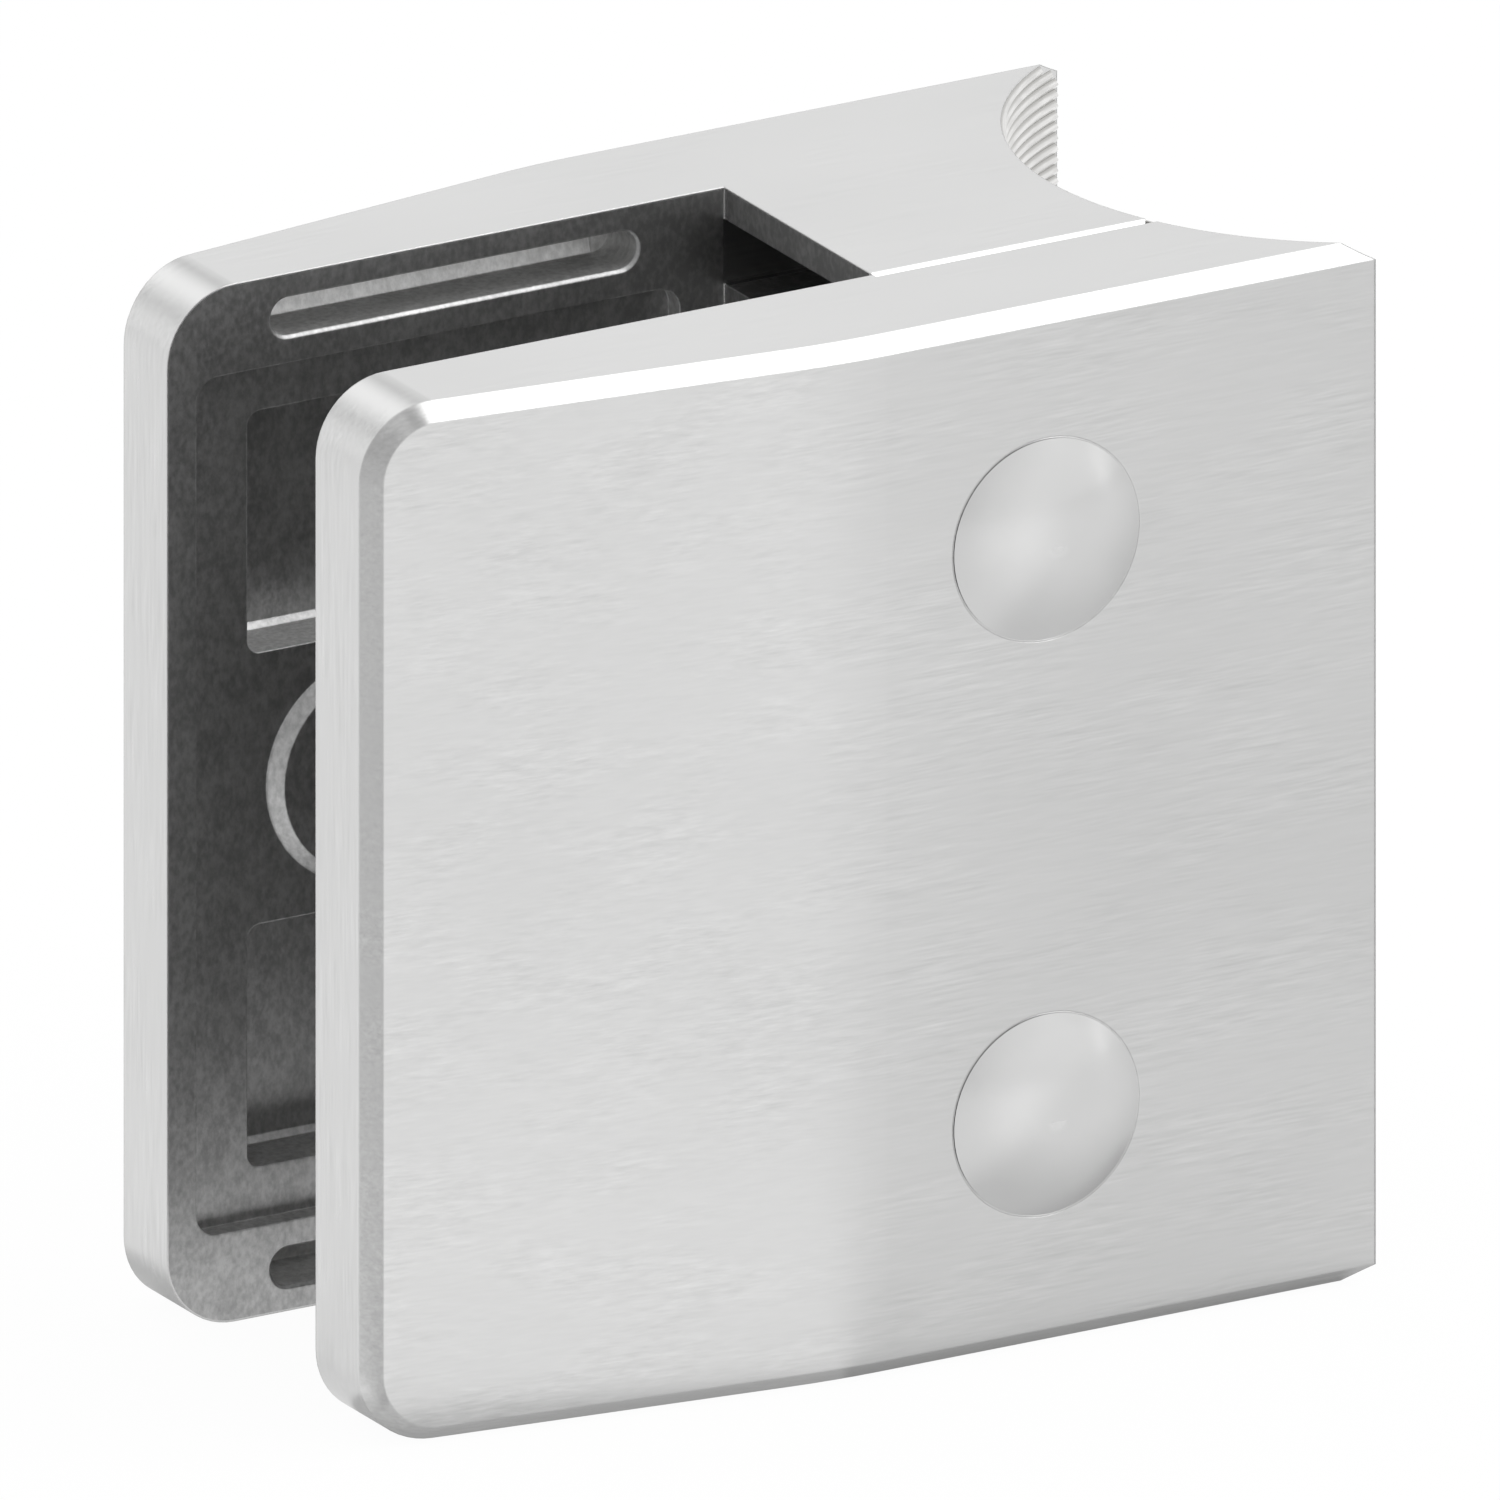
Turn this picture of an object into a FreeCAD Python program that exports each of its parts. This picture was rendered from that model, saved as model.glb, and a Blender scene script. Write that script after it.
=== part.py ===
import FreeCAD, Part
import math
import os
import re
import Sketcher

# Glass panel clamp that screws to a round post and grips the edge of a glass pane.
# Frame: the origin is at the middle of the seat, where the bolt's axis meets the post, at the
# clamp's mid height. +Z runs up the post, +X points from the glass to the post and +Y from the
# front cover to the rear jaw. Sketches are drawn about the post's axis, and each body is then
# set one seat radius towards the post. All sizes are millimetres.

SIZES = {
    # the post and the outer form of the clamp
    "tube_diameter": 33.7,
    "seat_clearance": 0.05,
    "clamp_height": 52.0,
    "glass_gap": 14.0,
    "jaw_thickness": 8.0,
    "web_thickness": 13.6,
    "pocket_depth": 30.3,
    "taper_length": 24.1,
    "taper_drop": 3.1,
    "taper_blend_radius": 36.0,
    "corner_radius": 3.7,
    "edge_chamfer": 0.83,
    "parting_edge_break": 0.3,
    # the shallow seat for the rubber pad on the inside of each jaw
    "gasket_end_margin": 1.6,
    "gasket_web_margin": 2.4,
    "gasket_edge_margin": 4.5,
    "gasket_depth": 1.1,
    "gasket_corner_radius": 1.2,
    # the two deep cored pockets in each jaw
    "core_end_margin": 5.0,
    "core_web_margin": 5.1,
    "core_edge_margin": 7.05,
    "core_middle_rib": 13.6,
    "core_least_wall": 1.25,
    "core_corner_radius": 0.7,
    "core_floor_break": 0.3,
    # the long narrow slots along the top and bottom of each jaw
    "slot_end_margin": 5.7,
    "slot_web_margin": 4.7,
    "slot_from_edge": 2.2,
    "slot_width": 1.9,
    "slot_depth": 2.8,
    "slot_floor_fall": 0.6,
    "slot_rim_break": 0.15,
    # the low round boss for a safety pin through the glass
    "boss_from_end": 11.7,
    "boss_diameter": 11.3,
    "boss_height": 0.65,
    "boss_edge_break": 0.6,
    "pin_hole_diameter": 5.0,
    "pin_hole_depth": 4.6,
    # the cored web between the jaws and the bore for the bolt into the post
    "web_rim": 1.6,
    "web_core_height": 3.25,
    "web_core_depth": 8.0,
    "bolt_recess_height": 14.4,
    "bolt_bore_diameter": 8.4,
    # the two socket screws that go in from the rear
    "screw_diameter": 6.0,
    "screw_from_web": 4.8,
    "screw_from_edge": 11.6,
    "screw_running_clearance": 0.1,
    "screw_head_diameter": 10.0,
    "screw_head_height": 6.0,
    "screw_head_sink": 0.3,
    "screw_head_clearance": 0.3,
    "screw_edge_break": 0.5,
    "thread_engagement": 4.3,
    "hex_key": 5.0,
    "hex_depth": 3.0,
    # the two domed sleeve nuts in the cover
    "nut_head_diameter": 10.0,
    "nut_ring_gap": 0.08,
    "nut_head_thickness": 2.2,
    "nut_dome_height": 1.2,
    "nut_shank_diameter": 8.0,
    "nut_shank_clearance": 0.02,
    "nut_end_gap": 0.2,
    "nut_thread_clearance": 0.05,
    "nut_bore_run_out": 1.0,
}

# Places worked out from the driving sizes, as distances from the post's axis
SEAT_RADIUS = "(tube_diameter / 2 + seat_clearance)"
HALF_GAP = "(glass_gap / 2)"
HALF_HEIGHT = "(clamp_height / 2)"
OUTER_FACE = "(glass_gap / 2 + jaw_thickness)"
WEB_WALL = f"({SEAT_RADIUS} + web_thickness)"
GLASS_END = f"({WEB_WALL} + pocket_depth)"
SCREW_REACH = f"({WEB_WALL} - screw_from_web)"
SCREW_RISE = f"({HALF_HEIGHT} - screw_from_edge)"
CORE_DEPTH = "(jaw_thickness - taper_drop * (1 - core_end_margin / taper_length) - core_least_wall)"
HEAD_FLOOR = f"({OUTER_FACE} - screw_head_height - screw_head_sink)"
NUT_SHOULDER = f"({OUTER_FACE} - nut_head_thickness)"
NUT_SHANK_LENGTH = "(jaw_thickness - nut_head_thickness - nut_end_gap)"

# A cut that opens through a face starts this far outside it
CUT_MARGIN = 1.0
# Two lengths closer than this are the same edge or corner
SAME_PLACE = 0.01

document = FreeCAD.newDocument("glass_panel_clamp")
sheet = document.addObject("Spreadsheet::Sheet", "Sizes")
for row, (alias, value) in enumerate(SIZES.items(), start=1):
    sheet.set(f"A{row}", alias)
    sheet.set(f"B{row}", str(value))
    sheet.setAlias(f"B{row}", alias)
document.recompute()


def bound(formula):
    """The formula with each size name pointing at its cell in the sheet."""
    def cell(word):
        name = word.group()
        return f"Sizes.{name}" if name in SIZES else name

    return re.sub(r"[a-z_]{3,}", cell, formula)


def number(formula):
    """What the formula is worth with the sizes as they stand."""
    return float(sheet.evalExpression(bound(formula)))


def new_body(label):
    """An empty body with a label of its own, which also names its file."""
    body = document.addObject("PartDesign::Body", label)
    body.Label = label
    return body


def origin_plane(body, role):
    """One of the three planes of the body's own origin."""
    return next(feature for feature in body.Origin.OriginFeatures if feature.Role == role)


def new_sketch(body, name, role, offset="0"):
    """A sketch on an origin plane of the body, moved along the plane's normal."""
    sketch = body.newObject("Sketcher::SketchObject", name)
    sketch.AttachmentSupport = [(origin_plane(body, role), "")]
    sketch.MapMode = "FlatFace"
    sketch.setExpression("AttachmentOffset.Base.z", bound(offset))
    return sketch


def add_line(sketch, start, end):
    """A line between two points, as the sketch's next element."""
    segment = Part.LineSegment(FreeCAD.Vector(*start, 0), FreeCAD.Vector(*end, 0))
    return sketch.addGeometry(segment, False)


def add_arc(sketch, centre, radius, start_degrees, end_degrees):
    """An arc that turns left from its start to its end."""
    circle = Part.Circle(FreeCAD.Vector(*centre, 0), FreeCAD.Vector(0, 0, 1), radius)
    arc = Part.ArcOfCircle(circle, math.radians(start_degrees), math.radians(end_degrees))
    return sketch.addGeometry(arc, False)


def constrain(sketch, kind, *places):
    """A constraint without a size."""
    return sketch.addConstraint(Sketcher.Constraint(kind, *places))


def drive(sketch, name, kind, places, formula):
    """A constraint with a size that the sheet drives."""
    index = sketch.addConstraint(Sketcher.Constraint(kind, *places, number(formula)))
    sketch.renameConstraint(index, name)
    sketch.setExpression(f"Constraints.{name}", bound(formula))


def place(sketch, name, element, point, across=None, up=None):
    """Holds a point of an element at a signed distance from the sketch's origin."""
    for direction, formula in (("DistanceX", across), ("DistanceY", up)):
        if formula is None:
            continue
        if number(formula) < 0:
            drive(sketch, f"{name}_{direction}", direction, (element, point, -1, 1), f"-({formula})")
        else:
            drive(sketch, f"{name}_{direction}", direction, (-1, 1, element, point), formula)


def add_rectangle(sketch, left, right, bottom, top):
    """A rectangle whose four sides lie at the given formulas."""
    x0, x1, y0, y1 = (number(side) for side in (left, right, bottom, top))
    corners = ((x0, y0), (x1, y0), (x1, y1), (x0, y1))
    sides = [add_line(sketch, corners[i], corners[(i + 1) % 4]) for i in range(4)]
    for i in range(4):
        constrain(sketch, "Coincident", sides[i], 2, sides[(i + 1) % 4], 1)
        constrain(sketch, "Horizontal" if i % 2 == 0 else "Vertical", sides[i])
    place(sketch, "low_corner", sides[0], 1, left, bottom)
    place(sketch, "high_corner", sides[2], 1, right, top)


def add_rounded_rectangle(sketch, left, right, bottom, top, radius):
    """A rectangle with four equal round corners."""
    x0, x1, y0, y1, r = (number(side) for side in (left, right, bottom, top, radius))
    lower = add_line(sketch, (x0 + r, y0), (x1 - r, y0))
    lower_right = add_arc(sketch, (x1 - r, y0 + r), r, 270, 360)
    right_side = add_line(sketch, (x1, y0 + r), (x1, y1 - r))
    upper_right = add_arc(sketch, (x1 - r, y1 - r), r, 0, 90)
    upper = add_line(sketch, (x1 - r, y1), (x0 + r, y1))
    upper_left = add_arc(sketch, (x0 + r, y1 - r), r, 90, 180)
    left_side = add_line(sketch, (x0, y1 - r), (x0, y0 + r))
    lower_left = add_arc(sketch, (x0 + r, y0 + r), r, 180, 270)
    chain = (lower, lower_right, right_side, upper_right, upper, upper_left, left_side, lower_left)
    for first, second in zip(chain, chain[1:] + chain[:1]):
        constrain(sketch, "Tangent", first, 2, second, 1)
    for level in (lower, upper):
        constrain(sketch, "Horizontal", level)
    for upright in (left_side, right_side):
        constrain(sketch, "Vertical", upright)
    for corner in (upper_right, upper_left, lower_left):
        constrain(sketch, "Equal", lower_right, corner)
    drive(sketch, "corner", "Radius", (lower_right,), radius)
    place(sketch, "lower_side", lower, 1, up=bottom)
    place(sketch, "upper_side", upper, 1, up=top)
    place(sketch, "left_side", left_side, 1, across=left)
    place(sketch, "right_side", right_side, 1, across=right)


def add_obround(sketch, left, right, middle, width):
    """A slot with two full round ends, lying level."""
    x0, x1, y, r = number(left), number(right), number(middle), number(width) / 2
    lower = add_line(sketch, (x0 + r, y - r), (x1 - r, y - r))
    right_end = add_arc(sketch, (x1 - r, y), r, -90, 90)
    upper = add_line(sketch, (x1 - r, y + r), (x0 + r, y + r))
    left_end = add_arc(sketch, (x0 + r, y), r, 90, 270)
    chain = (lower, right_end, upper, left_end)
    for first, second in zip(chain, chain[1:] + chain[:1]):
        constrain(sketch, "Tangent", first, 2, second, 1)
    constrain(sketch, "Horizontal", lower)
    constrain(sketch, "Equal", right_end, left_end)
    drive(sketch, "end_radius", "Radius", (right_end,), f"{width} / 2")
    place(sketch, "left_centre", left_end, 3, across=f"{left} + {width} / 2")
    place(sketch, "right_centre", right_end, 3, f"{right} - {width} / 2", middle)


def add_circle(sketch, across, up, diameter):
    """A circle about a point at the given formulas."""
    centre = FreeCAD.Vector(number(across), number(up), 0)
    circle = sketch.addGeometry(Part.Circle(centre, FreeCAD.Vector(0, 0, 1), number(diameter) / 2), False)
    drive(sketch, "bore", "Diameter", (circle,), diameter)
    place(sketch, "centre", circle, 3, across, up)


def add_corner_outline(sketch, points):
    """A closed outline of straight sides, each corner given by how far across and up it lies."""
    corners = [(number(across), number(up)) for across, up in points]
    count = len(corners)
    sides = [add_line(sketch, corners[i], corners[(i + 1) % count]) for i in range(count)]
    for i, (across, up) in enumerate(points):
        constrain(sketch, "Coincident", sides[i - 1], 2, sides[i], 1)
        place(sketch, f"corner_{i}", sides[i], 1, across, up)
    return sides


def cut(body, sketch, name, depth=None, reverse=False):
    """A pocket from the sketch to a depth, or right through the body."""
    document.recompute()
    volume_before = body.Shape.Volume
    pocket = body.newObject("PartDesign::Pocket", name)
    pocket.Profile = sketch
    pocket.Reversed = reverse
    if depth is None:
        pocket.Type = "ThroughAll"
    else:
        pocket.setExpression("Length", bound(depth))
    document.recompute()
    if body.Shape.Volume > volume_before - SAME_PLACE:
        raise RuntimeError(f"{body.Label}: {name} removes nothing")
    return pocket


def set_in_place(body, turn_degrees, reach="0", depth="0", rise="0"):
    """Turns the body about X and sets it this far from the post's axis, mid gap and mid height."""
    rotation = FreeCAD.Rotation(FreeCAD.Vector(1, 0, 0), turn_degrees)
    body.Placement = FreeCAD.Placement(FreeCAD.Vector(0, 0, 0), rotation)
    body.setExpression(".Placement.Base.x", bound(f"{SEAT_RADIUS} - {reach}"))
    body.setExpression(".Placement.Base.y", bound(depth))
    body.setExpression(".Placement.Base.z", bound(rise))


def raise_pad(body, sketch, name, height, below=None):
    """A pad along the sketch's normal, with an optional second length behind the sketch."""
    pad = body.newObject("PartDesign::Pad", name)
    pad.Profile = sketch
    pad.setExpression("Length", bound(height))
    if below is not None:
        pad.SideType = "Two sides"
        pad.setExpression("Length2", bound(below))
    document.recompute()
    return pad


def edge_names(shape, wanted):
    """The names of the shape's edges that the wanted function picks."""
    return [f"Edge{index}" for index, edge in enumerate(shape.Edges, start=1) if wanted(edge)]


def along(edge, axis):
    """Whether both ends of the edge differ only along one axis."""
    step = edge.Vertexes[-1].Point - edge.Vertexes[0].Point
    others = [value for name, value in zip("xyz", (step.x, step.y, step.z)) if name != axis]
    return step.Length > SAME_PLACE and all(abs(value) < SAME_PLACE for value in others)


def dress_edges(body, kind, name, size_property, formula, wanted):
    """A fillet or chamfer on the edges that the wanted function picks."""
    document.recompute()
    base = body.Tip
    names = edge_names(base.Shape, wanted)
    if not names:
        raise RuntimeError(f"{body.Label}: {name} finds no edge")
    dressing = body.newObject(kind, name)
    dressing.Base = (base, names)
    dressing.setExpression(size_property, bound(formula))
    document.recompute()
    return dressing


def mirror_top_to_bottom(body, name, originals):
    """The same cuts again below mid height."""
    mirrored = body.newObject("PartDesign::Mirrored", name)
    mirrored.Originals = originals
    mirrored.MirrorPlane = (origin_plane(body, "XY_Plane"), [""])
    body.Tip = mirrored
    document.recompute()
    return mirrored


def draw_jaw_outline(sketch, with_web):
    """The plan of a jaw on the +Y side, and of the web behind it for the base."""
    reach, wall, seat = number(GLASS_END), number(WEB_WALL), number(SEAT_RADIUS)
    inner, outer = number(HALF_GAP), number(OUTER_FACE)
    drop, run, blend = number("taper_drop"), number("taper_length"), number("taper_blend_radius")
    slope = math.atan2(drop, run)
    bend_x = -reach + run
    tangent_length = blend * math.tan(slope / 2)
    bend_start = (bend_x - tangent_length * math.cos(slope), outer - tangent_length * math.sin(slope))
    bend_end = (bend_x + tangent_length, outer)
    tip = (-math.sqrt(seat ** 2 - outer ** 2), outer)
    seat_end_y = -inner if with_web else inner
    seat_end = (-math.sqrt(seat ** 2 - inner ** 2), seat_end_y)

    end_face = add_line(sketch, (-reach, inner), (-reach, outer - drop))
    taper = add_line(sketch, (-reach, outer - drop), bend_start)
    bend = add_arc(sketch, (bend_end[0], outer - blend), blend, 90, 90 + math.degrees(slope))
    flat = add_line(sketch, bend_end, tip)
    seat_start_degrees = math.degrees(math.atan2(tip[1], tip[0]))
    seat_end_degrees = math.degrees(math.atan2(seat_end[1], seat_end[0])) % 360
    seat_arc = add_arc(sketch, (0, 0), seat, seat_start_degrees, seat_end_degrees)

    constrain(sketch, "Coincident", end_face, 2, taper, 1)
    constrain(sketch, "Tangent", taper, 2, bend, 2)
    constrain(sketch, "Tangent", bend, 1, flat, 1)
    constrain(sketch, "Coincident", flat, 2, seat_arc, 1)
    constrain(sketch, "Coincident", seat_arc, 3, -1, 1)
    constrain(sketch, "Vertical", end_face)
    constrain(sketch, "Horizontal", flat)
    place(sketch, "glass_end", end_face, 1, f"-{GLASS_END}", HALF_GAP)
    place(sketch, "thin_end", end_face, 2, up=f"{OUTER_FACE} - taper_drop")
    place(sketch, "outer_face", flat, 2, up=OUTER_FACE)
    drive(sketch, "seat_radius", "Radius", (seat_arc,), SEAT_RADIUS)
    drive(sketch, "bend_radius", "Radius", (bend,), "taper_blend_radius")
    angle = sketch.addConstraint(Sketcher.Constraint("Angle", taper, slope))
    sketch.renameConstraint(angle, "taper_angle")
    sketch.setExpression("Constraints.taper_angle", bound("atan(taper_drop / taper_length)"))

    if with_web:
        parting = add_line(sketch, seat_end, (-wall, -inner))
        web_face = add_line(sketch, (-wall, -inner), (-wall, inner))
        inner_face = add_line(sketch, (-wall, inner), (-reach, inner))
        constrain(sketch, "Coincident", seat_arc, 2, parting, 1)
        constrain(sketch, "Coincident", parting, 2, web_face, 1)
        constrain(sketch, "Coincident", web_face, 2, inner_face, 1)
        constrain(sketch, "Vertical", web_face)
        constrain(sketch, "Horizontal", parting)
        place(sketch, "web_corner", web_face, 1, f"-{WEB_WALL}", f"-{HALF_GAP}")
    else:
        inner_face = add_line(sketch, seat_end, (-reach, inner))
        constrain(sketch, "Coincident", seat_arc, 2, inner_face, 1)
    constrain(sketch, "Coincident", inner_face, 2, end_face, 1)
    constrain(sketch, "Horizontal", inner_face)


def is_outer_face(face):
    """Whether a face of the raw jaw is one of the three that form its outer side."""
    middle = face.Surface.parameter(face.CenterOfMass)
    return face.normalAt(*middle).y > math.cos(math.pi / 4)


def make_jaw(label, with_web):
    """The jaw's plan raised to its height, with round glass-side corners and chamfered outer edges."""
    body = new_body(label)
    plan = new_sketch(body, f"{label}_plan", "XY_Plane")
    draw_jaw_outline(plan, with_web)
    block = body.newObject("PartDesign::Pad", f"{label}_block")
    block.Profile = plan
    block.SideType = "Symmetric"
    block.setExpression("Length", bound("clamp_height"))

    glass_end = -number(GLASS_END)

    def at_glass_corner(edge):
        return along(edge, "y") and abs(edge.Vertexes[0].X - glass_end) < SAME_PLACE

    dress_edges(body, "PartDesign::Fillet", f"{label}_corners", "Radius", "corner_radius", at_glass_corner)

    outer_faces = [face for face in body.Tip.Shape.Faces if is_outer_face(face)]
    post_side = max(vertex.X for face in outer_faces for vertex in face.Vertexes)

    def on_outer_rim(edge):
        owners = [face for face in outer_faces if any(edge.isSame(other) for other in face.Edges)]
        at_post_side = all(abs(vertex.X - post_side) < SAME_PLACE for vertex in edge.Vertexes)
        return len(owners) == 1 and not at_post_side

    dress_edges(body, "PartDesign::Chamfer", f"{label}_outer_chamfer", "Size", "edge_chamfer", on_outer_rim)
    return body


def lies_at_depth(edge, depth):
    """Whether both ends of the edge lie this deep behind mid gap."""
    return all(abs(vertex.Y - depth) < SAME_PLACE for vertex in edge.Vertexes)


def carve_jaw_inside(body):
    """The pad seat, cored pockets, slots and boss that both jaws have on their inner face."""
    label = body.Label
    inner_plane = f"-{HALF_GAP}"

    pad_seat = new_sketch(body, f"{label}_pad_seat_outline", "XZ_Plane", inner_plane)
    add_rounded_rectangle(
        pad_seat,
        f"-{GLASS_END} + gasket_end_margin",
        f"-{WEB_WALL} - gasket_web_margin",
        f"-{HALF_HEIGHT} + gasket_edge_margin",
        f"{HALF_HEIGHT} - gasket_edge_margin",
        "gasket_corner_radius",
    )
    cut(body, pad_seat, f"{label}_pad_seat", "gasket_depth")

    core = new_sketch(body, f"{label}_core_outline", "XZ_Plane", inner_plane)
    add_rounded_rectangle(
        core,
        f"-{GLASS_END} + core_end_margin",
        f"-{WEB_WALL} - core_web_margin",
        "core_middle_rib / 2",
        f"{HALF_HEIGHT} - core_edge_margin",
        "core_corner_radius",
    )
    core_pocket = cut(body, core, f"{label}_core", CORE_DEPTH)

    slot = new_sketch(body, f"{label}_slot_outline", "XZ_Plane", inner_plane)
    add_obround(
        slot,
        f"-{GLASS_END} + slot_end_margin",
        f"-{WEB_WALL} - slot_web_margin",
        f"{HALF_HEIGHT} - slot_from_edge",
        "slot_width",
    )
    slot_pocket = cut(body, slot, f"{label}_slot", "slot_depth")

    # The slot's floor falls away towards the jaw's outer edge
    slot_floor = f"{HALF_GAP} + slot_depth"
    slot_lower_side = f"{HALF_HEIGHT} - slot_from_edge - slot_width / 2"
    slot_upper_side = f"{HALF_HEIGHT} - slot_from_edge + slot_width / 2"
    fall = new_sketch(
        body, f"{label}_slot_fall_outline", "YZ_Plane", f"-{GLASS_END} + slot_end_margin + slot_width / 2"
    )
    add_corner_outline(fall, (
        (slot_floor, slot_lower_side),
        (f"{slot_floor} + slot_floor_fall", slot_upper_side),
        (slot_floor, slot_upper_side),
    ))
    slot_length = "pocket_depth - slot_end_margin - slot_web_margin - slot_width"
    slot_fall = cut(body, fall, f"{label}_slot_fall", slot_length, reverse=True)
    mirror_top_to_bottom(body, f"{label}_lower_recesses", [core_pocket, slot_pocket, slot_fall])

    inner_face = number(HALF_GAP)
    boss_top = number(f"{HALF_GAP} + gasket_depth - boss_height")
    core_floor = number(f"{HALF_GAP} + {CORE_DEPTH}")
    slot_middle = number(f"{HALF_HEIGHT} - slot_from_edge")
    half_slot = number("slot_width / 2")
    boss_reach = -number(GLASS_END) + number("boss_from_end")

    def on_core_floor(edge):
        return lies_at_depth(edge, core_floor)

    def on_slot_rim(edge):
        heights = [abs(vertex.Z) for vertex in edge.Vertexes]
        return lies_at_depth(edge, inner_face) and all(
            abs(height - slot_middle) < half_slot + SAME_PLACE for height in heights
        )

    dress_edges(body, "PartDesign::Chamfer", f"{label}_core_floor", "Size", "core_floor_break", on_core_floor)
    dress_edges(body, "PartDesign::Chamfer", f"{label}_slot_rim", "Size", "slot_rim_break", on_slot_rim)

    boss = new_sketch(body, f"{label}_boss_outline", "XZ_Plane", f"-({HALF_GAP} + gasket_depth)")
    add_circle(boss, f"-{GLASS_END} + boss_from_end", "0", "boss_diameter")
    raise_pad(body, boss, f"{label}_boss", "boss_height")

    def on_boss_edge(edge):
        if not isinstance(edge.Curve, Part.Circle) or not lies_at_depth(edge, boss_top):
            return False
        return abs(edge.Curve.Center.x - boss_reach) < SAME_PLACE

    dress_edges(body, "PartDesign::Chamfer", f"{label}_boss_edge", "Size", "boss_edge_break", on_boss_edge)


def screw_axis_sketch(body, name, offset, diameter):
    """A circle about the upper clamp screw's axis, on a plane parallel to the glass."""
    sketch = new_sketch(body, name, "XZ_Plane", offset)
    add_circle(sketch, f"-{SCREW_REACH}", SCREW_RISE, diameter)
    return sketch


def make_base():
    """Rear jaw and web in one casting: it seats on the post and carries everything else."""
    body = make_jaw("base_body", with_web=True)
    half_height, half_gap = number(HALF_HEIGHT), number(HALF_GAP)

    def on_parting_rim(edge):
        ends = edge.Vertexes
        level = all(abs(abs(vertex.Z) - half_height) < SAME_PLACE for vertex in ends)
        front = all(abs(vertex.Y + half_gap) < SAME_PLACE for vertex in ends)
        return level and front

    dress_edges(body, "PartDesign::Chamfer", "base_parting_break", "Size", "parting_edge_break", on_parting_rim)
    carve_jaw_inside(body)

    pin_mouth = f"-({HALF_GAP} + gasket_depth - boss_height)"
    pin_hole = new_sketch(body, "base_pin_hole_outline", "XZ_Plane", pin_mouth)
    add_circle(pin_hole, f"-{GLASS_END} + boss_from_end", "0", "pin_hole_diameter")
    cut(body, pin_hole, "base_pin_hole", "pin_hole_depth")

    web_front = f"-{HALF_GAP} - {CUT_MARGIN}"
    web_core = new_sketch(body, "base_web_core_outline", "YZ_Plane", f"-{WEB_WALL}")
    add_rectangle(
        web_core,
        web_front,
        HALF_GAP,
        f"{HALF_HEIGHT} - web_rim - web_core_height",
        f"{HALF_HEIGHT} - web_rim",
    )
    core_pocket = cut(body, web_core, "base_web_core", "web_core_depth", reverse=True)

    clearance_hole = screw_axis_sketch(
        body, "base_screw_hole_outline", HALF_GAP, "screw_diameter + 2 * screw_running_clearance"
    )
    screw_hole = cut(body, clearance_hole, "base_screw_hole")
    head_recess = screw_axis_sketch(
        body, "base_head_recess_outline", f"-{OUTER_FACE}", "screw_head_diameter + 2 * screw_head_clearance"
    )
    head_depth = "screw_head_height + screw_head_sink"
    head_pocket = cut(body, head_recess, "base_head_recess", head_depth, reverse=True)
    mirror_top_to_bottom(body, "base_lower_screw_seat", [core_pocket, screw_hole, head_pocket])

    bolt_recess = new_sketch(body, "base_bolt_recess_outline", "YZ_Plane", f"-{WEB_WALL}")
    add_rectangle(bolt_recess, web_front, HALF_GAP, "-bolt_recess_height / 2", "bolt_recess_height / 2")
    cut(body, bolt_recess, "base_bolt_recess", "web_core_depth", reverse=True)
    bolt_bore = new_sketch(body, "base_bolt_bore_outline", "YZ_Plane", f"-{WEB_WALL}")
    add_circle(bolt_bore, "0", "0", "bolt_bore_diameter")
    cut(body, bolt_bore, "base_bolt_bore", reverse=True)
    set_in_place(body, 0)
    return body


def make_cover():
    """Front jaw: a plate drawn on the +Y side like the rear one, then turned over about X."""
    body = make_jaw("cover_plate", with_web=False)
    carve_jaw_inside(body)
    shank_hole = screw_axis_sketch(
        body, "cover_nut_hole_outline", f"-{HALF_GAP}", "nut_shank_diameter + 2 * nut_shank_clearance"
    )
    nut_hole = cut(body, shank_hole, "cover_nut_hole")
    head_seat = screw_axis_sketch(
        body, "cover_nut_seat_outline", f"-{OUTER_FACE}", "nut_head_diameter + 2 * nut_ring_gap"
    )
    nut_seat = cut(body, head_seat, "cover_nut_seat", "nut_head_thickness", reverse=True)

    # The edge that meets the web is broken from the web's wall to the seat
    parting_break = new_sketch(body, "cover_parting_break_outline", "YZ_Plane", f"-{WEB_WALL}")
    corners = (
        (HALF_GAP, HALF_HEIGHT),
        (HALF_GAP, f"{HALF_HEIGHT} - parting_edge_break"),
        (f"{HALF_GAP} + parting_edge_break", HALF_HEIGHT),
    )
    add_corner_outline(parting_break, corners)
    edge_break = cut(body, parting_break, "cover_parting_break", reverse=True)
    mirror_top_to_bottom(body, "cover_lower_nut_seat", [nut_hole, nut_seat, edge_break])
    set_in_place(body, 180)
    return body


def revolve(body, sketch, name):
    """A full turn of the outline about the sketch's upright axis."""
    turned = body.newObject("PartDesign::Revolution", name)
    turned.Profile = sketch
    turned.ReferenceAxis = (sketch, ["V_Axis"])
    turned.Angle = 360.0
    document.recompute()
    return turned


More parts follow.
